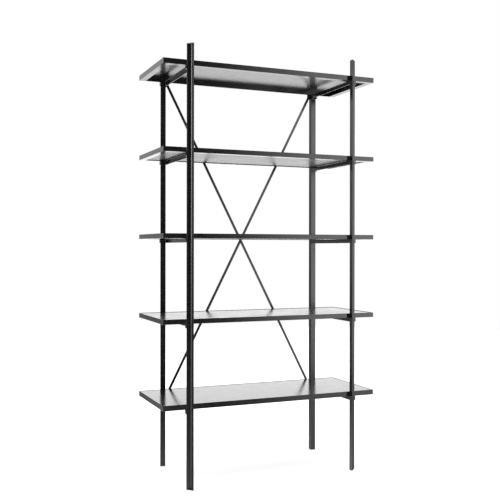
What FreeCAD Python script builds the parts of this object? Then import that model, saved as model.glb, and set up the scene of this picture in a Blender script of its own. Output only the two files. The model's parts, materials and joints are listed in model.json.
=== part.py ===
"""Bookcase with adjustable shelves, in millimetres.

Four L-angle posts stand just outside the front and rear edges of five steel-framed shelves.
The lowest and highest shelves are fixed and have a steel sheet in their frames. The three
between them move up and down and have loose boards. Every shelf hangs on two side rails whose
ends carry clamps, hooked round the flanges of the posts. Two flat bars cross behind the
shelves. X is the width, -Y the front, Z is up, and the origin is on the floor, at the middle
of the footprint.
"""
import FreeCAD, Part
import os
import Sketcher
from FreeCAD import Placement, Rotation, Vector

# The driving dimensions: alias, value, meaning.
DIMENSIONS = [
    ("height", 1980, "overall height"),
    ("shelf_width", 1070, "shelf, side to side"),
    ("shelf_depth", 404, "shelf, front to back"),
    ("shelf_1_top", 379, "floor to the top of the lowest shelf"),
    ("shelf_2_top", 757, "floor to the top of the second shelf"),
    ("shelf_3_top", 1137, "floor to the top of the third shelf"),
    ("shelf_4_top", 1519, "floor to the top of the fourth shelf"),
    ("shelf_5_top", 1907, "floor to the top of the highest shelf"),
    ("fixed_edge", 24, "height of the edge of the lowest and highest shelves"),
    ("moving_edge", 22, "height of the edge of the three shelves between them"),
    ("frame_wall", 3, "steel thickness of a shelf's frame"),
    ("frame_border", 30, "shelf's edge to the inner side of the ledge, at the front and the ends"),
    ("rear_border", 8, "shelf's edge to the inner side of the ledge, at the rear"),
    ("frame_round", 1, "rounding of the frame's outer edges"),
    ("board_gap", 1, "gap round the board in its frame"),
    ("board_drop", 1.5, "how far the frame's rim stands above the board"),
    ("panel_thick", 2, "thickness of the sheet welded into a fixed shelf's frame"),
    ("panel_drop", 1, "how far the frame's rim stands above the sheet"),
    ("board_round", 0.8, "rounding of the board's upper edges"),
    ("post_leg", 26, "leg of a post's angle"),
    ("post_wall", 3.5, "steel thickness of a post"),
    ("post_round", 4.5, "inner root radius of a post"),
    ("angle_toe", 1, "rounding of the ends of an angle's legs"),
    ("post_inner", 401.5, "middle of the width to a post's inner side"),
    ("post_gap", 0.5, "gap from a shelf's edge to a post"),
    ("plate_thick", 3, "thickness of the plates that close a post's ends"),
    ("rail_leg", 18, "leg of a side rail's angle"),
    ("rail_wall", 3, "steel thickness of a side rail"),
    ("clamp_body", 8, "thickness of a clamp's block behind the post's flange"),
    ("clamp_wall", 3, "thickness of a clamp's hook"),
    ("clamp_grip", 9.5, "how far the hook's jaw covers the flange"),
    ("clamp_gap", 0.5, "running gap between a clamp and its post"),
    ("screw_bore", 5.2, "hole for a clamp screw"),
    ("screw_shank", 5, "diameter of a clamp screw"),
    ("screw_head", 9, "diameter of a clamp screw's head"),
    ("screw_head_high", 4, "height of a clamp screw's head"),
    ("screw_inset", 5, "post's outer edge to a clamp screw's axis"),
    ("socket_wide", 4, "hexagon socket, across its corners"),
    ("socket_deep", 2.4, "depth of a hexagon socket"),
    ("bar_wide", 12.5, "width of a brace bar"),
    ("bar_thick", 3, "thickness of a brace bar"),
    ("bar_hole", 6.5, "hole in a brace bar"),
    ("bar_end", 392, "middle of the width to a brace bar's end hole"),
    ("bar_drop", 32, "top of a shelf to the end holes beside it"),
    ("bar_plane", 210, "middle of the depth to the front of the first bar"),
    ("tab_long", 17, "length of a brace tab"),
    ("tab_tall", 24, "height of a brace tab"),
    ("bolt_shank", 6, "diameter of a brace bolt"),
    ("bolt_head", 10.5, "diameter of a brace bolt's head"),
    ("bolt_head_high", 3.2, "height of a brace bolt's head"),
    ("nut_wide", 11, "brace nut, across its corners"),
    ("nut_high", 4.5, "height of a brace nut"),
    ("rivet_head", 11, "diameter of the rivet's heads at the crossing"),
    ("rivet_head_high", 2.2, "height of the rivet's heads"),
]
SHELF_COUNT = 5
FIXED_SHELVES = (1, SHELF_COUNT)
SIDES = {"left": -1, "right": 1}
ENDS = {"front": -1, "rear": 1}
UP = Vector(0, 0, 1)
ACROSS = Vector(1, 0, 0)
ALONG = Vector(0, 1, 0)

doc = FreeCAD.newDocument("Bookcase")
sheet = doc.addObject("Spreadsheet::Sheet", "dims")
nodes = []


def fill_sheet():
    for row, (alias, value, meaning) in enumerate(DIMENSIONS, start=1):
        sheet.set("A%d" % row, meaning)
        sheet.set("B%d" % row, str(value))
        sheet.setAlias("B%d" % row, alias)
    doc.recompute()


def size(alias):
    """Read one dimension of the sheet as a number."""
    return float(sheet.get(alias))


def bind(thing, **expressions):
    """Bind properties to expressions in which a word after # is a cell of the sheet."""
    for name, text in expressions.items():
        thing.setExpression(name.replace("__", "."), text.replace("#", "dims."))


def lift(thing, height):
    """Bind an object's height above the floor."""
    thing.setExpression("Placement.Base.z", height.replace("#", "dims."))


def keep(thing):
    """Count an object as one of the bookcase's pieces."""
    nodes.append(thing)
    return thing


def origin_plane(body, role):
    return next(plane for plane in body.Origin.OriginFeatures if plane.Role == role)


def new_sketch(body, role, name):
    sketch = body.newObject("Sketcher::SketchObject", name)
    sketch.AttachmentSupport = [(origin_plane(body, role), "")]
    sketch.MapMode = "FlatFace"
    return sketch


def add_outline(sketch, corners):
    """Draw a closed outline of straight lines and return the number of its first line."""
    first = sketch.GeometryCount
    count = len(corners)
    for i, corner in enumerate(corners):
        ahead = corners[(i + 1) % count]
        sketch.addGeometry(Part.LineSegment(Vector(*corner, 0), Vector(*ahead, 0)), False)
    for i in range(count):
        ahead = first + (i + 1) % count
        sketch.addConstraint(Sketcher.Constraint("Coincident", first + i, 2, ahead, 1))
    return first


def square_up(sketch, first, count):
    """Hold an outline's lines level and upright in turn, starting with a level one."""
    for i in range(count):
        kind = "Vertical" if i % 2 else "Horizontal"
        sketch.addConstraint(Sketcher.Constraint(kind, first + i))


def measure(sketch, kind, line, expression):
    """Set the length of a level or upright line from an expression."""
    index = sketch.addConstraint(Sketcher.Constraint(kind, line, 1, line, 2, 10.0))
    sketch.setExpression("Constraints[%d]" % index, expression.replace("#", "dims."))


def offset(sketch, kind, line, expression):
    """Set how far the far end of a line lies from the sketch's origin."""
    index = sketch.addConstraint(Sketcher.Constraint(kind, -1, 1, line, 2, 10.0))
    sketch.setExpression("Constraints[%d]" % index, expression.replace("#", "dims."))


def add_rectangle(sketch, width, depth):
    """Draw a rectangle about the sketch's origin, its sizes bound to two expressions."""
    first = add_outline(sketch, [(-20, -10), (20, -10), (20, 10), (-20, 10)])
    square_up(sketch, first, 4)
    sketch.addConstraint(Sketcher.Constraint("Symmetric", first, 1, first + 2, 1, -1, 1))
    measure(sketch, "DistanceX", first, width)
    measure(sketch, "DistanceY", first + 1, depth)


def add_opening(sketch, half_width, depth, rear):
    """Draw a rectangle centred across the sketch, its far side at a distance from the origin."""
    first = add_outline(sketch, [(-20, -10), (20, -10), (20, 10), (-20, 10)])
    square_up(sketch, first, 4)
    measure(sketch, "DistanceX", first, "2 * (%s)" % half_width)
    measure(sketch, "DistanceY", first + 1, depth)
    offset(sketch, "DistanceX", first + 1, half_width)
    offset(sketch, "DistanceY", first + 1, rear)


def add_angle_profile(sketch, leg, wall):
    """Draw an L with its heel on the origin and its legs along +X and +Y."""
    first = add_outline(sketch, [(0, 0), (20, 0), (20, 3), (3, 3), (3, 20), (0, 20)])
    square_up(sketch, first, 6)
    sketch.addConstraint(Sketcher.Constraint("Coincident", first, 1, -1, 1))
    measure(sketch, "DistanceX", first, leg)
    measure(sketch, "DistanceY", first + 1, wall)
    sketch.addConstraint(Sketcher.Constraint("Equal", first, first + 5))
    sketch.addConstraint(Sketcher.Constraint("Equal", first + 1, first + 4))


def new_pad(body, sketch, length, midplane=False):
    pad = body.newObject("PartDesign::Pad", "Pad")
    pad.Profile = sketch
    pad.Midplane = midplane
    pad.setExpression("Length", length.replace("#", "dims."))
    doc.recompute()
    return pad


def round_edges(body, feature, radius, wanted):
    """Round the edges of a feature that pass the test, to a radius from the sheet."""
    names = ["Edge%d" % (i + 1) for i, edge in enumerate(feature.Shape.Edges) if wanted(edge)]
    fillet = body.newObject("PartDesign::Fillet", "Fillet")
    fillet.Base = (feature, names)
    fillet.setExpression("Radius", radius.replace("#", "dims."))
    body.Tip = fillet
    doc.recompute()
    return fillet


def points_along(edge, direction):
    """Whether a straight edge runs along a direction."""
    run = edge.lastVertex().Point - edge.firstVertex().Point
    return abs(run.dot(direction)) > 0.999 * run.Length


def is_near(edge, x=None, y=None, z=None):
    """Whether an edge's middle has the given coordinates."""
    middle = edge.CenterOfMass
    tests = [(middle.x, x), (middle.y, y), (middle.z, z)]
    return all(goal is None or abs(value - goal) < 0.01 for value, goal in tests)


def quarter_turn(side, end):
    """Turn a shape whose legs lie along +X and +Y so that they point to one corner."""
    turns = {(1, 1): 0, (-1, 1): 90, (-1, -1): 180, (1, -1): 270}
    return Rotation(UP, turns[(side, end)])


def place_at_post(thing, side, end):
    """Put a shape that starts at an angle's heel where one of the four posts stands."""
    thing.Placement = Placement(Vector(0, 0, 0), quarter_turn(side, end))
    bind(thing,
         Placement__Base__x="%d * #post_inner" % side,
         Placement__Base__y="%d * (#shelf_depth / 2 + #post_gap)" % end)


def make_post(side_name, end_name):
    body = doc.addObject("PartDesign::Body", "Post")
    body.Label = "post_%s_%s" % (end_name, side_name)
    sketch = new_sketch(body, "XY_Plane", "Section")
    add_angle_profile(sketch, "#post_leg", "#post_wall")
    pad = new_pad(body, sketch, "#height - 2 * #plate_thick")
    wall = size("post_wall")
    leg = size("post_leg")
    root = round_edges(body, pad, "#post_round",
                       lambda edge: points_along(edge, UP) and is_near(edge, x=wall, y=wall))
    toes = [(wall, leg), (leg, wall)]
    round_edges(body, root, "#angle_toe",
                lambda edge: points_along(edge, UP) and any(is_near(edge, x, y) for x, y in toes))
    place_at_post(body, SIDES[side_name], ENDS[end_name])
    lift(body, "#plate_thick")
    return keep(body)


def make_end_plate(label, side, end, height):
    """Make the triangular plate that closes one end of a post."""
    body = doc.addObject("PartDesign::Body", "EndPlate")
    body.Label = label
    sketch = new_sketch(body, "XY_Plane", "Triangle")
    first = add_outline(sketch, [(0, 0), (20, 0), (0, 20)])
    sketch.addConstraint(Sketcher.Constraint("Horizontal", first))
    sketch.addConstraint(Sketcher.Constraint("Vertical", first + 2))
    sketch.addConstraint(Sketcher.Constraint("Coincident", first, 1, -1, 1))
    sketch.addConstraint(Sketcher.Constraint("Equal", first, first + 2))
    measure(sketch, "DistanceX", first, "#post_leg")
    new_pad(body, sketch, "#plate_thick")
    place_at_post(body, side, end)
    lift(body, height)
    return keep(body)


def make_posts():
    for side_name, side in SIDES.items():
        for end_name, end in ENDS.items():
            corner = "%s_%s" % (end_name, side_name)
            make_post(side_name, end_name)
            make_end_plate("top_plate_" + corner, side, end, "#height - #plate_thick")
            make_end_plate("foot_plate_" + corner, side, end, "0")


def shelf_top(number):
    """The height of a shelf's upper face as an expression; shelf 1 is the lowest."""
    return "#shelf_%d_top" % number


def shelf_edge(number):
    return "#fixed_edge" if number in FIXED_SHELVES else "#moving_edge"


def shelf_foot(number):
    """The height of the underside of a shelf's frame as an expression."""
    return "(%s - %s)" % (shelf_top(number), shelf_edge(number))


def make_shelf_rim(number):
    """Make the upright band round a shelf."""
    body = doc.addObject("PartDesign::Body", "Rim")
    body.Label = "shelf_%d_rim" % number
    sketch = new_sketch(body, "XY_Plane", "Outline")
    add_rectangle(sketch, "#shelf_width", "#shelf_depth")
    add_rectangle(sketch, "#shelf_width - 2 * #frame_wall", "#shelf_depth - 2 * #frame_wall")
    pad = new_pad(body, sketch, shelf_edge(number))
    half_width = size("shelf_width") / 2
    half_depth = size("shelf_depth") / 2

    def is_outer(edge):
        middle = edge.CenterOfMass
        return abs(abs(middle.x) - half_width) < 0.01 or abs(abs(middle.y) - half_depth) < 0.01

    round_edges(body, pad, "#frame_round", is_outer)
    lift(body, shelf_foot(number))
    return keep(body)


def make_shelf_ledge(number):
    """Make the flat ledge that points inward from the foot of a shelf's rim."""
    body = doc.addObject("PartDesign::Body", "Ledge")
    body.Label = "shelf_%d_ledge" % number
    sketch = new_sketch(body, "XY_Plane", "Outline")
    add_rectangle(sketch, "#shelf_width - 2 * #frame_wall", "#shelf_depth - 2 * #frame_wall")
    add_opening(sketch, "#shelf_width / 2 - #frame_border",
                "#shelf_depth - #frame_border - #rear_border", "#shelf_depth / 2 - #rear_border")
    new_pad(body, sketch, "#frame_wall")
    lift(body, shelf_foot(number))
    return keep(body)


def make_board(number):
    """Make the board that lies loose on the ledge of a moving shelf."""
    body = doc.addObject("PartDesign::Body", "Board")
    body.Label = "shelf_%d_board" % number
    sketch = new_sketch(body, "XY_Plane", "Outline")
    clearance = " - 2 * (#frame_wall + #board_gap)"
    add_rectangle(sketch, "#shelf_width" + clearance, "#shelf_depth" + clearance)
    pad = new_pad(body, sketch, "#moving_edge - #frame_wall - #board_drop")
    top = size("moving_edge") - size("frame_wall") - size("board_drop")
    round_edges(body, pad, "#board_round", lambda edge: is_near(edge, z=top))
    lift(body, shelf_foot(number) + " + #frame_wall")
    return keep(body)


def make_panel(number):
    """Make the steel sheet that is welded into a fixed shelf's frame, near its upper edge."""
    body = doc.addObject("PartDesign::Body", "Panel")
    body.Label = "shelf_%d_panel" % number
    sketch = new_sketch(body, "XY_Plane", "Outline")
    add_rectangle(sketch, "#shelf_width - 2 * #frame_wall", "#shelf_depth - 2 * #frame_wall")
    new_pad(body, sketch, "#panel_thick")
    lift(body, shelf_top(number) + " - #panel_drop - #panel_thick")
    return keep(body)


def make_rail(number, side_name):
    """Make a side rail: its flat leg lies under the shelf and points outward."""
    body = doc.addObject("PartDesign::Body", "Rail")
    body.Label = "shelf_%d_rail_%s" % (number, side_name)
    sketch = new_sketch(body, "XZ_Plane", "Section")
    add_angle_profile(sketch, "#rail_leg", "#rail_wall")
    pad = new_pad(body, sketch, "#shelf_depth - 2 * #clamp_body", midplane=True)
    wall = size("rail_wall")
    leg = size("rail_leg")
    corners = [(wall, wall), (wall, leg), (leg, wall)]

    def is_inner_corner(edge):
        return points_along(edge, ALONG) and any(is_near(edge, x=x, z=z) for x, z in corners)

    round_edges(body, pad, "#angle_toe", is_inner_corner)
    turn_axis = ALONG if side_name == "left" else ACROSS
    body.Placement = Placement(Vector(0, 0, 0), Rotation(turn_axis, 180))
    bind(body, Placement__Base__x="%d * #post_inner" % SIDES[side_name])
    lift(body, shelf_foot(number))
    return keep(body)


def new_box(x, y, z, length, width, height):
    """Make a box from six expressions: its lowest corner and its sides."""
    box = doc.addObject("Part::Box", "Block")
    bind(box, Length=length, Width=width, Height=height,
         Placement__Base__x=x, Placement__Base__y=y, Placement__Base__z=z)
    return box


def new_rod(x, y, z, diameter, length):
    """Make a round rod that runs along +Y from a point, from expressions."""
    rod = doc.addObject("Part::Cylinder", "Rod")
    rod.Placement = Placement(Vector(0, 0, 0), Rotation(ACROSS, -90))
    bind(rod, Radius="%s / 2" % diameter, Height=length,
         Placement__Base__x=x, Placement__Base__y=y, Placement__Base__z=z)
    return rod


def new_hexagon(x, y, z, across_corners, length):
    """Make a six-sided prism that runs along +Y from a point, from expressions."""
    prism = doc.addObject("Part::Prism", "Hexagon")
    prism.Polygon = 6
    prism.Placement = Placement(Vector(0, 0, 0), Rotation(ACROSS, -90))
    bind(prism, Circumradius="%s / 2" % across_corners, Height=length,
         Placement__Base__x=x, Placement__Base__y=y, Placement__Base__z=z)
    return prism


def fuse(shapes):
    joined = doc.addObject("Part::MultiFuse", "Joined")
    joined.Shapes = shapes
    joined.Refine = True
    return joined


def cut(base, tool):
    result = doc.addObject("Part::Cut", "Cut")
    result.Base = base
    result.Tool = tool
    result.Refine = True
    return result


def mirror(source, normal):
    image = doc.addObject("Part::Mirroring", "Mirror")
    image.Source = source
    image.Normal = normal
    return image


def group(shapes):
    gathered = doc.addObject("Part::Compound", "Group")
    gathered.Links = shapes
    return gathered


def at_four_corners(shape):
    """Repeat a shape from the front left corner at the other three."""
    front = group([shape, mirror(shape, ACROSS)])
    return [front, mirror(front, ALONG)]


# A clamp is drawn at the front left corner, with z = 0 at the underside of its shelf's frame.
POST_OUTER = "(#post_inner + #post_leg)"
FLANGE_FACE = "(#shelf_depth / 2 + #post_gap + #post_wall)"
HOOK_OUTER = "(%s + #clamp_gap + #clamp_wall)" % POST_OUTER
HOOK_FACE = "(%s + #clamp_gap + #clamp_wall)" % FLANGE_FACE
SCREW_LINE = "(%s - #screw_inset)" % POST_OUTER
BLOCK_FACE = "(#shelf_depth / 2 - #clamp_body)"


def draw_clamp():
    """Draw a clamp: a block behind the flange, a wall past its edge and a jaw in front."""
    block = new_box("-" + HOOK_OUTER, "-#shelf_depth / 2", "-#rail_leg",
                    "%s - #post_inner" % HOOK_OUTER, "#clamp_body", "#rail_leg")
    wall = new_box("-" + HOOK_OUTER, "-" + HOOK_FACE, "-#rail_leg",
                   "#clamp_wall", "%s - #shelf_depth / 2" % HOOK_FACE, "#rail_leg")
    jaw = new_box("-" + HOOK_OUTER, "-" + HOOK_FACE, "-#rail_leg",
                  "#clamp_wall + #clamp_gap + #clamp_grip", "#clamp_wall", "#rail_leg")
    hole = new_rod("-" + SCREW_LINE, "-#shelf_depth / 2 - 1", "-#rail_leg / 2",
                   "#screw_bore", "#clamp_body + 2")
    return cut(fuse([block, wall, jaw]), hole)


def draw_clamp_screw():
    """Draw a clamp screw: it is driven from inside and its tip presses on the flange."""
    tip = "-#shelf_depth / 2 - #post_gap / 2"
    shank = new_rod("-" + SCREW_LINE, tip, "-#rail_leg / 2",
                    "#screw_shank", "#clamp_body + #post_gap / 2")
    head = new_rod("-" + SCREW_LINE, "-" + BLOCK_FACE, "-#rail_leg / 2",
                   "#screw_head", "#screw_head_high")
    socket = new_hexagon("-" + SCREW_LINE, "-%s + #screw_head_high - #socket_deep" % BLOCK_FACE,
                         "-#rail_leg / 2", "#socket_wide", "#socket_deep + 1")
    return cut(fuse([shank, head]), socket)


def make_clamps(number, clamp_corners, screw_corners):
    for name, corners in (("clamps", clamp_corners), ("clamp_screws", screw_corners)):
        fittings = keep(group(corners))
        fittings.Label = "shelf_%d_%s" % (number, name)
        lift(fittings, shelf_foot(number))


def make_shelves():
    clamp_corners = at_four_corners(draw_clamp())
    screw_corners = at_four_corners(draw_clamp_screw())
    for number in range(1, SHELF_COUNT + 1):
        make_shelf_rim(number)
        make_shelf_ledge(number)
        if number in FIXED_SHELVES:
            make_panel(number)
        else:
            make_board(number)
        for side_name in SIDES:
            make_rail(number, side_name)
        make_clamps(number, clamp_corners, screw_corners)


BRACE_TOP = "(%s - #bar_drop)" % shelf_top(SHELF_COUNT)
BRACE_FOOT = "(%s - #bar_drop)" % shelf_top(1)
BRACE_MIDDLE = "((%s + %s) / 2)" % (BRACE_TOP, BRACE_FOOT)
BRACE_RISE = "(%s - %s)" % (BRACE_TOP, BRACE_FOOT)
BRACE_SPAN = "sqrt(pow(2 * #bar_end; 2) + pow(%s; 2))" % BRACE_RISE


def make_brace(label, lean, layer):
    """Make a flat bar with round ends, holes at both ends and a hole at the crossing."""
    straight = new_box("-%s / 2" % BRACE_SPAN, "0", "-#bar_wide / 2",
                       BRACE_SPAN, "#bar_thick", "#bar_wide")
    ends = [new_rod("%d * %s / 2" % (way, BRACE_SPAN), "0", "0", "#bar_wide", "#bar_thick")
            for way in (-1, 1)]
    holes = [new_rod("%d * %s / 2" % (way, BRACE_SPAN), "-1", "0", "#bar_hole", "#bar_thick + 2")
             for way in (-1, 0, 1)]
    brace = keep(cut(fuse([straight] + ends), fuse(holes)))
    brace.Label = label
    brace.Placement = Placement(Vector(0, 0, 0), Rotation(ALONG, lean))
    bind(brace,
         Placement__Rotation__Angle="%d * atan(%s / (2 * #bar_end))" % (lean, BRACE_RISE),
         Placement__Base__y="#bar_plane + %d * #bar_thick" % layer)
    lift(brace, BRACE_MIDDLE)
    return brace


def brace_bolt_points():
    """List the four bolted ends: side, height, name and the layer that the tab lies in."""
    return [
        (-1, BRACE_TOP, "left_top", -1),
        (1, BRACE_FOOT, "right_bottom", -1),
        (1, BRACE_TOP, "right_top", 2),
        (-1, BRACE_FOOT, "left_bottom", 2),
    ]


def make_brace_tab(side, height, name, layer):
    """Make the plate on a rear post's inner side that a brace bar's end is bolted to."""
    low_x = "-#post_inner" if side < 0 else "#post_inner - #tab_long"
    low_y = "#bar_plane + %d * #bar_thick" % layer
    plate = new_box(low_x, low_y, "%s - #tab_tall / 2" % height,
                    "#tab_long", "#bar_thick", "#tab_tall")
    hole = new_rod("%d * #bar_end" % side, low_y + " - 1", height,
                   "#bar_hole", "#bar_thick + 2")
    tab = keep(cut(plate, hole))
    tab.Label = "brace_tab_" + name
    return tab


def draw_brace_bolt(side, height, layer):
    """Draw a bolt through a tab and its bar, its head in front and its nut behind."""
    x = "%d * #bar_end" % side
    first_layer = min(layer, 1)
    front = "#bar_plane + %d * #bar_thick" % first_layer
    grip = "2 * #bar_thick"
    head = new_rod(x, "%s - #bolt_head_high" % front, height, "#bolt_head", "#bolt_head_high")
    shank = new_rod(x, front, height, "#bolt_shank", "%s + #nut_high + 1" % grip)
    nut = new_hexagon(x, "%s + %s" % (front, grip), height, "#nut_wide", "#nut_high")
    socket = new_hexagon(x, "%s - #bolt_head_high - 1" % front, height,
                         "#socket_wide", "#socket_deep + 1")
    return cut(fuse([head, shank, nut]), socket)


def draw_rivet():
    """Draw the rivet through both bars where they cross."""
    front = "#bar_plane"
    shank = new_rod("0", front, BRACE_MIDDLE, "#bolt_shank", "2 * #bar_thick")
    near_head = new_rod("0", "%s - #rivet_head_high" % front, BRACE_MIDDLE,
                        "#rivet_head", "#rivet_head_high")
    far_head = new_rod("0", "%s + 2 * #bar_thick" % front, BRACE_MIDDLE,
                       "#rivet_head", "#rivet_head_high")
    return fuse([shank, near_head, far_head])


def make_bracing():
    make_brace("brace_falling", 1, 0)
    make_brace("brace_rising", -1, 1)
    points = brace_bolt_points()
    for side, height, name, layer in points:
        make_brace_tab(side, height, name, layer)
    bolts = keep(group([draw_brace_bolt(side, height, layer) for side, height, _, layer in points]))
    bolts.Label = "brace_bolts"
    rivet = keep(draw_rivet())
    rivet.Label = "brace_rivet"


def check_document():
    for thing in doc.Objects:
        faults = [word for word in thing.State if word in ("Invalid", "Error")]
        if faults:
            raise RuntimeError("%s (%s) is %s" % (thing.Name, thing.Label, faults))
    for node in nodes:
        if node.Shape.isNull() or not node.Shape.isValid() or not node.Shape.Solids:
            raise RuntimeError("%s has no valid shape" % node.Label)


def write_parts():
    os.makedirs("parts", exist_ok=True)
    for node in nodes:
        node.Shape.exportStep("parts/%s.step" % node.Label)
        print(node.Label, len(node.Shape.Solids), round(node.Shape.Volume))


fill_sheet()
make_posts()
make_shelves()
make_bracing()
doc.recompute()
check_document()
write_parts()
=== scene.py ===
"""Bookcase with adjustable shelves: materials, welds, floor, light and camera, in metres."""

import json
import math
import random

import bmesh
import bpy
from mathutils import Matrix, Vector


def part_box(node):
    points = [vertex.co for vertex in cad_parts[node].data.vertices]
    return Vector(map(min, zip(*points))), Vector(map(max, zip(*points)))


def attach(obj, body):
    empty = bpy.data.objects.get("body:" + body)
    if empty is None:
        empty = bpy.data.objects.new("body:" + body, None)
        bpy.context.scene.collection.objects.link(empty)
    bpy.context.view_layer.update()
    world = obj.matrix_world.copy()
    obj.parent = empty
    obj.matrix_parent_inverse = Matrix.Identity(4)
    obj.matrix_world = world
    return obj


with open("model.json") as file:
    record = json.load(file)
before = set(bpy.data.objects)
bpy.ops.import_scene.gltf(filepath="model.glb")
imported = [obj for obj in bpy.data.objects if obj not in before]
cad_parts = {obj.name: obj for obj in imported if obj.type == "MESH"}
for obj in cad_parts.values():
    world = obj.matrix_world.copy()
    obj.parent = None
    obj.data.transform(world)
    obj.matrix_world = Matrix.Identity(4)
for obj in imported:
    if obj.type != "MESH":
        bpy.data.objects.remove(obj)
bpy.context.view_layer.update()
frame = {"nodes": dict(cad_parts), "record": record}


class Surface:
    """A node material under construction, worked out from places on the piece in metres."""

    def __init__(self, name):
        self.material = bpy.data.materials.new(name)
        self.material.use_nodes = True
        self.tree = self.material.node_tree
        self.shader = self.tree.nodes["Principled BSDF"]
        self.place = self.tree.nodes.new("ShaderNodeTexCoord").outputs["Object"]

    def node(self, kind, links=None, **settings):
        made = self.tree.nodes.new(kind)
        for key, value in settings.items():
            setattr(made, key, value)
        for socket, source in (links or {}).items():
            if isinstance(source, bpy.types.NodeSocket):
                self.tree.links.new(source, made.inputs[socket])
            else:
                made.inputs[socket].default_value = source
        return made

    def stretched(self, scale):
        """The place, multiplied along each axis."""
        links = {"Vector": self.place, "Scale": scale}
        return self.node("ShaderNodeMapping", links).outputs["Vector"]

    def noise(self, scale, detail=3.0, roughness=0.5, place=None):
        links = {"Vector": place or self.place, "Scale": scale, "Detail": detail,
                 "Roughness": roughness}
        return self.node("ShaderNodeTexNoise", links).outputs["Fac"]

    def spread(self, value, low, high, from_low=0.3, from_high=0.7):
        """Map the middle of a pattern's values to a range."""
        links = {"Value": value, "From Min": from_low, "From Max": from_high,
                 "To Min": low, "To Max": high}
        return self.node("ShaderNodeMapRange", links).outputs["Result"]

    def math(self, operation, first, second=0.0):
        return self.node("ShaderNodeMath", {0: first, 1: second}, operation=operation).outputs[0]

    def blend(self, factor, first, second):
        """Mix two colours, given as sockets or as red, green and blue."""
        colours = [c if isinstance(c, bpy.types.NodeSocket) else (*c, 1.0) for c in (first, second)]
        links = {"Factor": factor, 6: colours[0], 7: colours[1]}
        return self.node("ShaderNodeMix", links, data_type="RGBA").outputs[2]

    def edges(self, radius):
        """1 along the piece's sharp edges and 0 on its flats."""
        rounded = self.node("ShaderNodeBevel", {"Radius": radius}, samples=4).outputs["Normal"]
        flat = self.node("ShaderNodeNewGeometry").outputs["Normal"]
        facing = self.node("ShaderNodeVectorMath", {0: rounded, 1: flat}, operation="DOT_PRODUCT")
        return self.spread(facing.outputs["Value"], 1.0, 0.0, 0.86, 0.995)

    def underneath(self):
        """1 on faces that look down and 0 elsewhere."""
        facing = self.node("ShaderNodeNewGeometry").outputs["True Normal"]
        level = self.node("ShaderNodeSeparateXYZ", {"Vector": facing}).outputs["Z"]
        return self.math("LESS_THAN", level, -0.5)

    def bump(self, height, distance, strength, under=None):
        links = {"Height": height, "Distance": distance, "Strength": strength}
        if under is not None:
            links["Normal"] = under
        return self.node("ShaderNodeBump", links).outputs["Normal"]

    def finish(self, **links):
        for name, source in links.items():
            socket = self.shader.inputs[name.replace("_", " ")]
            if isinstance(source, bpy.types.NodeSocket):
                self.tree.links.new(source, socket)
            else:
                socket.default_value = source
        return self.material


def make_powder_coat(name, rough_low, rough_high, peel_depth, rougher_below=0.0):
    """Satin black powder coat: orange peel, faint dust and edges rubbed a little bare."""
    coat = Surface(name)
    deep_black, faded_black = (0.003, 0.003, 0.0032), (0.007, 0.007, 0.0073)
    dust, rubbed_edge = (0.022, 0.0215, 0.0205), (0.046, 0.0445, 0.043)
    clouds = coat.noise(7.0, 4.0, 0.6)
    specks = coat.spread(coat.noise(420.0, 2.0), 0.0, 1.0, 0.62, 0.72)
    base = coat.blend(coat.spread(clouds, 0.0, 1.0), deep_black, faded_black)
    dusty = coat.blend(coat.math("MULTIPLY", specks, 0.3), base, dust)
    wear = coat.math("MULTIPLY", coat.edges(0.0016), coat.spread(coat.noise(38.0, 5.0), 0.0, 0.55))
    colour = coat.blend(wear, dusty, rubbed_edge)
    rough = coat.spread(coat.noise(24.0, 4.0, 0.65), rough_low, rough_high)
    if rougher_below:
        rough = coat.math("ADD", rough, coat.math("MULTIPLY", coat.underneath(), rougher_below))
    polished = coat.math("SUBTRACT", rough, coat.math("MULTIPLY", wear, 0.08))
    peel = coat.bump(coat.noise(650.0, 1.5), peel_depth, 0.5)
    pits = coat.bump(coat.noise(2600.0, 2.0), peel_depth * 0.3, 0.35, peel)
    return coat.finish(Base_Color=colour, Roughness=polished, IOR=1.52, Normal=pits)


def make_lacquered_board(name):
    """Black lacquer over a veneered board: long grain that still shows faintly in the gloss."""
    board = Surface(name)
    dark_grain, pale_grain = (0.008, 0.008, 0.008), (0.016, 0.0152, 0.0145)
    worn_edge = (0.05, 0.046, 0.042)
    along = board.stretched((2.2, 46.0, 46.0))
    grain = board.noise(3.2, 6.0, 0.62, along)
    pores = board.noise(11.0, 3.0, 0.5, board.stretched((4.0, 150.0, 150.0)))
    base = board.blend(board.spread(grain, 0.0, 1.0), dark_grain, pale_grain)
    wear = board.math("MULTIPLY", board.edges(0.0012), 0.3)
    colour = board.blend(wear, base, worn_edge)
    lacquered = board.spread(board.noise(9.0, 4.0, 0.6), 0.21, 0.27)
    rough = board.math("ADD", lacquered, board.math("MULTIPLY", board.underneath(), 0.10))
    lines = board.bump(grain, 0.00012, 0.16)
    normal = board.bump(pores, 0.00006, 0.12, lines)
    return board.finish(Base_Color=colour, Roughness=rough, IOR=1.5, Normal=normal)


def make_blackened_steel(name):
    """Blackened steel of the screws, bolts and rivet, with turning marks and bare edges."""
    steel = Surface(name)
    oxide, thin_oxide, bare_edge = (0.03, 0.03, 0.032), (0.075, 0.072, 0.070), (0.22, 0.21, 0.20)
    marks = steel.noise(900.0, 2.0, 0.5, steel.stretched((1.0, 0.08, 1.0)))
    clouds = steel.noise(120.0, 4.0)
    base = steel.blend(steel.spread(clouds, 0.0, 1.0), oxide, thin_oxide)
    colour = steel.blend(steel.math("MULTIPLY", steel.edges(0.0006), 0.6), base, bare_edge)
    rough = steel.spread(marks, 0.28, 0.46)
    normal = steel.bump(marks, 0.00003, 0.3)
    return steel.finish(Base_Color=colour, Metallic=0.85, Roughness=rough, Normal=normal)


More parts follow.
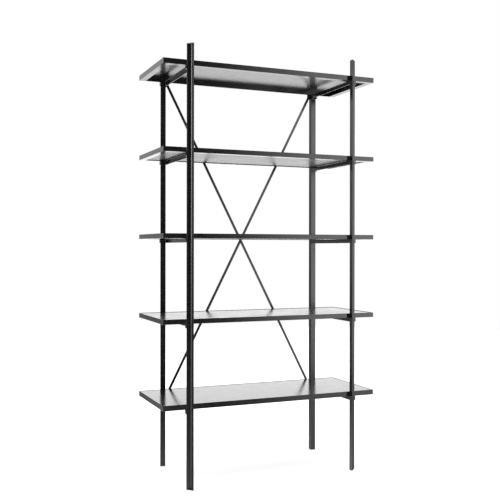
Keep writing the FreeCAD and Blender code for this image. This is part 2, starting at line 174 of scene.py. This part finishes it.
def make_weld(name):
    """Powder coat run over a weld bead: uneven, and duller than on the flats."""
    weld = Surface(name)
    deep_black, faded_black = (0.009, 0.009, 0.0095), (0.018, 0.018, 0.0185)
    clouds = weld.spread(weld.noise(90.0, 3.0), 0.0, 1.0)
    base = weld.blend(clouds, deep_black, faded_black)
    rough = weld.spread(weld.noise(200.0, 3.0), 0.24, 0.34)
    normal = weld.bump(weld.noise(700.0, 2.0), 0.0001, 0.4)
    return weld.finish(Base_Color=base, Roughness=rough, IOR=1.52, Normal=normal)


frame_coat = make_powder_coat("powder_coat", 0.15, 0.24, 0.00003)
panel_coat = make_powder_coat("powder_coat_smooth", 0.16, 0.21, 0.00002, rougher_below=0.06)
lacquer = make_lacquered_board("black_lacquer")
blackened = make_blackened_steel("blackened_steel")
weld_coat = make_weld("powder_coat_on_weld")
SLOT_MATERIALS = {"frame_steel": frame_coat, "panel": panel_coat, "board": lacquer,
                  "fixings": blackened}

SLIDING_SHELVES = (2, 3, 4)
WELDED_SHELVES = (1, 5)
CORNERS = ("front_left", "front_right", "rear_left", "rear_right")

BEAD_SIDES = 8
BEAD_RING_GAP = 0.0009
BEAD_DRAWN_IN = 0.12
BEAD_SINK = 0.0004


def dress_cad_nodes():
    """Give each CAD node the material of its slot in the record."""
    for part in frame["record"]["subparts"]:
        for slot in frame["nodes"][part["node"]].material_slots:
            slot.material = SLOT_MATERIALS[part["material_slot"]]


def new_piece(name, mesh_builder):
    """Make an object whose mesh a function fills in."""
    mesh = bpy.data.meshes.new(name)
    piece = bpy.data.objects.new(name, mesh)
    bpy.context.scene.collection.objects.link(piece)
    shape = bmesh.new()
    mesh_builder(shape)
    shape.to_mesh(mesh)
    shape.free()
    return piece


def add_bead(shape, start, end, radius, chance):
    """Add a rippled weld bead from one point to another, its ends drawn in."""
    start, end = Vector(start), Vector(end)
    run = end - start
    along = run.normalized()
    side = along.orthogonal().normalized()
    rise = along.cross(side)
    count = max(8, round(run.length / BEAD_RING_GAP))
    rings = []
    for i in range(count + 1):
        share = i / count
        inset = min(share, 1.0 - share, BEAD_DRAWN_IN)
        swell = math.sin(math.pi * inset / (2 * BEAD_DRAWN_IN)) ** 0.5
        ripple = 1.0 + 0.14 * math.sin(i * 2.1) + chance.uniform(-0.05, 0.05)
        width = radius * max(0.15, swell) * ripple
        middle = start + run * share
        ring = []
        for k in range(BEAD_SIDES):
            turn = math.tau * k / BEAD_SIDES
            outward = side * math.cos(turn) + rise * math.sin(turn)
            ring.append(shape.verts.new(middle + width * outward))
        rings.append(ring)
    for near, far in zip(rings, rings[1:]):
        for k in range(BEAD_SIDES):
            following = (k + 1) % BEAD_SIDES
            face = shape.faces.new((near[k], near[following], far[following], far[k]))
            face.smooth = True
    shape.faces.new(list(reversed(rings[0])))
    shape.faces.new(rings[-1])


def make_beads(name, body, beads):
    """Make one piece of several beads, each a start, an end and a radius."""
    chance = random.Random(name)

    def build(shape):
        for start, end, radius in beads:
            add_bead(shape, start, end, radius, chance)
    piece = new_piece(name, build)
    piece.data.materials.append(weld_coat)
    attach(piece, body)


def shelf_beads(number):
    """List the beads that join a shelf's rails to its clamps and to its front ledge."""
    leg, root, front_reach = 0.0033, 0.0034, 0.021
    beads = []
    for side, name in ((-1, "left"), (1, "right")):
        low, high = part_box("shelf_%d_rail_%s" % (number, name))
        outer, inner = (low.x, high.x) if side < 0 else (high.x, low.x)
        wall = inner + side * leg
        for y, inward in ((low.y, 1), (high.y, -1)):
            seam = y + inward * 0.0005
            beads.append(((wall, seam, low.z + 0.001), (wall, seam, high.z - 0.004), 0.0015))
            level = high.z - root
            beads.append(((wall + side * 0.002, seam, level), (outer, seam, level), 0.0014))
        edge = outer + side * BEAD_SINK
        top = high.z - BEAD_SINK
        beads.append(((edge, low.y + 0.002, top), (edge, low.y + front_reach, top), 0.0015))
    return beads


def panel_beads(number):
    """List the stitches under a welded shelf's sheet, along the front and rear of its rim."""
    low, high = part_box("shelf_%d_panel" % number)
    half_stitch = 0.014
    places = (-0.44, -0.22, 0.0, 0.22, 0.44)
    z = low.z - 0.0003
    beads = []
    for y in (low.y + BEAD_SINK, high.y - BEAD_SINK):
        for x in places:
            beads.append(((x - half_stitch, y, z), (x + half_stitch, y, z), 0.0015))
    return beads


def end_plate_beads(plate, toward):
    """List the beads in the corner between a post's end plate and the inside of its legs.

    toward is 1 when the post stands above the plate and -1 when it ends below it.
    """
    low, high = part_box(plate)
    side = -1 if low.x < 0 else 1
    end = -1 if low.y < 0 else 1
    heel_x = high.x if side < 0 else low.x
    heel_y = high.y if end < 0 else low.y
    z = (low.z if toward < 0 else high.z) + toward * BEAD_SINK
    wall, root, tip, radius = 0.0038, 0.009, 0.021, 0.0012
    x_wall, y_wall = heel_x + side * wall, heel_y + end * wall
    return [((heel_x + side * root, y_wall, z), (heel_x + side * tip, y_wall, z), radius),
            ((x_wall, heel_y + end * root, z), (x_wall, heel_y + end * tip, z), radius)]


def tab_beads():
    """List the beads that hold the brace tabs to the rear posts."""
    seam_on_front = {"left_top": True, "right_bottom": True, "right_top": False, "left_bottom": False}
    proud, end_gap = 0.0003, 0.002
    beads = []
    for name, on_front in seam_on_front.items():
        low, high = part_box("brace_tab_" + name)
        post = low.x if "left" in name else high.x
        inward = 1 if "left" in name else -1
        y = low.y - proud if on_front else high.y + proud
        x = post + inward * 0.0006
        beads.append(((x, y, low.z + end_gap), (x, y, high.z - end_gap), 0.0016))
    return beads


def make_welds():
    """Make every weld of the bookcase, one piece for each group that moves together."""
    for number in sorted(SLIDING_SHELVES + WELDED_SHELVES):
        body = "shelf_%d" % number if number in SLIDING_SHELVES else "frame"
        make_beads("shelf_%d_welds" % number, body, shelf_beads(number))
    for number in WELDED_SHELVES:
        make_beads("shelf_%d_stitches" % number, "frame", panel_beads(number))
    plates = []
    for corner in CORNERS:
        plates += end_plate_beads("top_plate_" + corner, -1)
        plates += end_plate_beads("foot_plate_" + corner, 1)
    make_beads("end_plate_welds", "frame", plates)
    make_beads("brace_tab_welds", "frame", tab_beads())


def make_floor():
    """A pale matte floor, round so that no edge runs across a view."""
    def build(shape):
        bmesh.ops.create_circle(shape, cap_ends=True, segments=96, radius=7.0)
    floor = new_piece("floor", build)
    paint = Surface("pale_floor")
    mottle = paint.noise(1.4, 4.0)
    colour = paint.blend(paint.spread(mottle, 0.0, 1.0), (0.84, 0.84, 0.84), (0.88, 0.88, 0.88))
    normal = paint.bump(paint.noise(260.0, 3.0), 0.0002, 0.15)
    paint.finish(Base_Color=colour, Roughness=0.9, Normal=normal,
                 Emission_Color=(1.0, 1.0, 1.0, 1.0), Emission_Strength=0.45)
    floor.visible_glossy = False
    floor.data.materials.append(paint.material)


def make_card(name, corner, across, up, strength, fade_across=None, fade_up=None):
    """Make a card that glows in reflections only, from a corner and two sides.

    A fade is its start, its end and the share of the glow at its start.
    """
    corner, across, up = Vector(corner), Vector(across), Vector(up)

    def build(shape):
        layer = shape.loops.layers.uv.new("card")
        corners = [(0, 0), (1, 0), (1, 1), (0, 1)]
        face = shape.faces.new([shape.verts.new(corner + u * across + v * up) for u, v in corners])
        for loop, uv in zip(face.loops, corners):
            loop[layer].uv = uv
    card = new_piece(name, build)
    card.visible_camera = card.visible_diffuse = card.visible_shadow = False
    glow = Surface(name)
    uv = glow.node("ShaderNodeTexCoord").outputs["UV"]
    split = glow.node("ShaderNodeSeparateXYZ", {"Vector": uv})
    level = strength
    for axis, fade in (("X", fade_across), ("Y", fade_up)):
        if fade is None:
            continue
        start, end, low = fade
        links = {"Value": split.outputs[axis], "From Min": start, "From Max": end,
                 "To Min": low, "To Max": 1.0}
        ramp = glow.node("ShaderNodeMapRange", links, interpolation_type="SMOOTHSTEP")
        level = glow.math("MULTIPLY", ramp.outputs["Result"], level)
    light = glow.node("ShaderNodeEmission", {"Color": (1, 1, 1, 1), "Strength": level})
    output = glow.tree.nodes["Material Output"]
    glow.tree.links.new(light.outputs[0], output.inputs["Surface"])
    card.data.materials.append(glow.material)


def make_lights():
    """Cards behind, at the left rear, at the front right and at the left, and a top light."""
    make_card("backdrop", (-0.25, 2.4, 0.0), (4.2, 0.0, 0.0), (0.0, 0.0, 1.65), 1.95)
    make_card("left_card", (-3.6, 2.4, 0.0), (2.9, 0.0, 0.0), (0.0, 0.0, 3.8), 1.0,
              fade_up=(0.1, 0.65, 0.32))
    make_card("front_softbox", (0.5, -3.0, -0.8), (3.4, 0.0, 0.0), (0.0, 0.0, 3.7), 3.3,
              fade_across=(0.03, 0.45, 0.0), fade_up=(0.11, 0.36, 0.4))
    make_card("left_softbox", (-3.2, -3.4, -1.0), (0.0, 2.8, 0.0), (0.0, 0.0, 4.0), 12.0,
              fade_up=(0.25, 0.78, 0.35))
    lamp = bpy.data.lights.new("top_light", "AREA")
    lamp.shape = "DISK"
    lamp.size = 6.0
    lamp.energy = 120.0
    lamp_object = bpy.data.objects.new("top_light", lamp)
    lamp_object.location = (0.0, 0.0, 5.0)
    lamp_object.visible_glossy = False
    bpy.context.scene.collection.objects.link(lamp_object)


def make_surroundings():
    """White all round, but a dim room with a bright floor in the reflections."""
    world = bpy.data.worlds.new("studio")
    world.use_nodes = True
    tree = world.node_tree
    tree.nodes.clear()
    mirrored = tree.nodes.new("ShaderNodeLightPath").outputs["Is Glossy Ray"]
    white = tree.nodes.new("ShaderNodeBackground")
    white.inputs["Color"].default_value = (1.0, 1.0, 1.0, 1.0)
    direction = tree.nodes.new("ShaderNodeTexCoord").outputs["Generated"]
    split = tree.nodes.new("ShaderNodeSeparateXYZ")
    tree.links.new(direction, split.inputs[0])
    ramp = tree.nodes.new("ShaderNodeMapRange")
    ramp.interpolation_type = "SMOOTHSTEP"
    fade = {"From Min": -0.32, "From Max": -0.14, "To Min": 1.6, "To Max": 0.03}
    for name, value in fade.items():
        ramp.inputs[name].default_value = value
    tree.links.new(split.outputs["Z"], ramp.inputs["Value"])
    room = tree.nodes.new("ShaderNodeBackground")
    tree.links.new(ramp.outputs["Result"], room.inputs["Color"])
    mix = tree.nodes.new("ShaderNodeMixShader")
    output = tree.nodes.new("ShaderNodeOutputWorld")
    tree.links.new(mirrored, mix.inputs[0])
    tree.links.new(white.outputs[0], mix.inputs[1])
    tree.links.new(room.outputs[0], mix.inputs[2])
    tree.links.new(mix.outputs[0], output.inputs["Surface"])
    scene = bpy.context.scene
    scene.world = world
    scene.view_settings.view_transform = "Standard"


def make_camera():
    """An almost level camera just above the middle of the bookcase, to the left of its front."""
    lens = bpy.data.cameras.new("camera")
    lens.sensor_width = 36.0
    lens.lens = 56.6
    lens.dof.use_dof = False
    camera = bpy.data.objects.new("camera", lens)
    turn, tilt, roll = math.radians(22.905), math.radians(-0.135), math.radians(0.075)
    place = Matrix.Translation((-1.5235, -3.5192, 1.0718))
    aim = Matrix.Rotation(-turn, 4, "Z") @ Matrix.Rotation(math.pi / 2 + tilt, 4, "X")
    camera.matrix_world = place @ aim @ Matrix.Rotation(roll, 4, "Z")
    bpy.context.scene.collection.objects.link(camera)
    bpy.context.scene.camera = camera


dress_cad_nodes()
make_welds()
make_floor()
make_lights()
make_surroundings()
make_camera()
